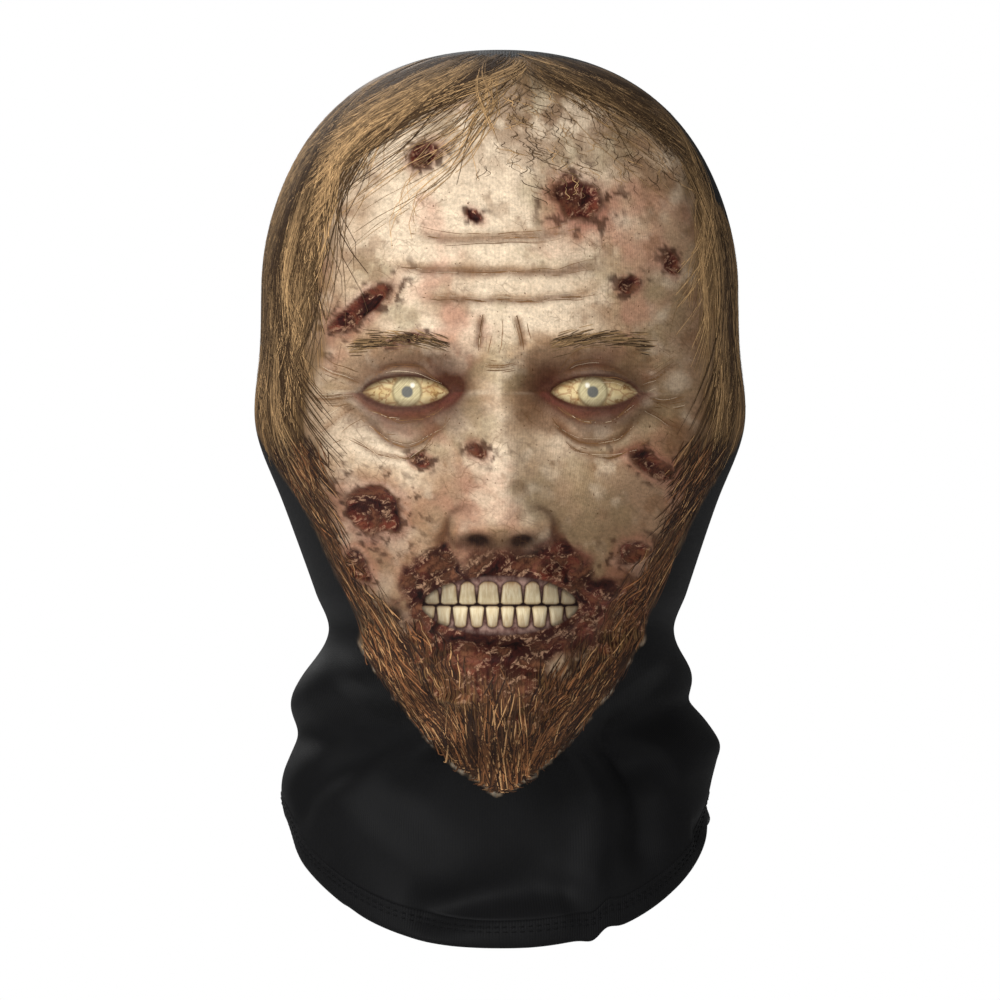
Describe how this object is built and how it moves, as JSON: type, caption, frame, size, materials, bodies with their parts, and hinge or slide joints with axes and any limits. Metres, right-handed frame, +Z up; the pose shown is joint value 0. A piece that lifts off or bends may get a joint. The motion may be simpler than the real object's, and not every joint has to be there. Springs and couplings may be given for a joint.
{
  "type": "zombie mask hood",
  "caption": "Full-head hood of printed stretch knit with a zombie face in front, hair and beard in print, and a loose black neck with a bib.",
  "frame": {"origin": "inside of the crown, on the axis of the head, where the hood sits on the wearer's head", "axes": "+Z up, -Y the way the face looks, +X to the left of a viewer standing behind, which is the viewer's right from the front"},
  "size_m": [0.174, 0.2327, 0.3182],
  "materials": {
    "printed_knit": "matte printed knit, a face above and black below",
    "black_knit": "matte black knit",
    "seam_thread": "matte overlock thread"
  },
  "bodies": {
    "root": {"front_panel": "printed_knit", "back_panel": "black_knit", "crown_seam": "seam_thread", "hem_band": "black_knit"}
  },
  "joints": []
}
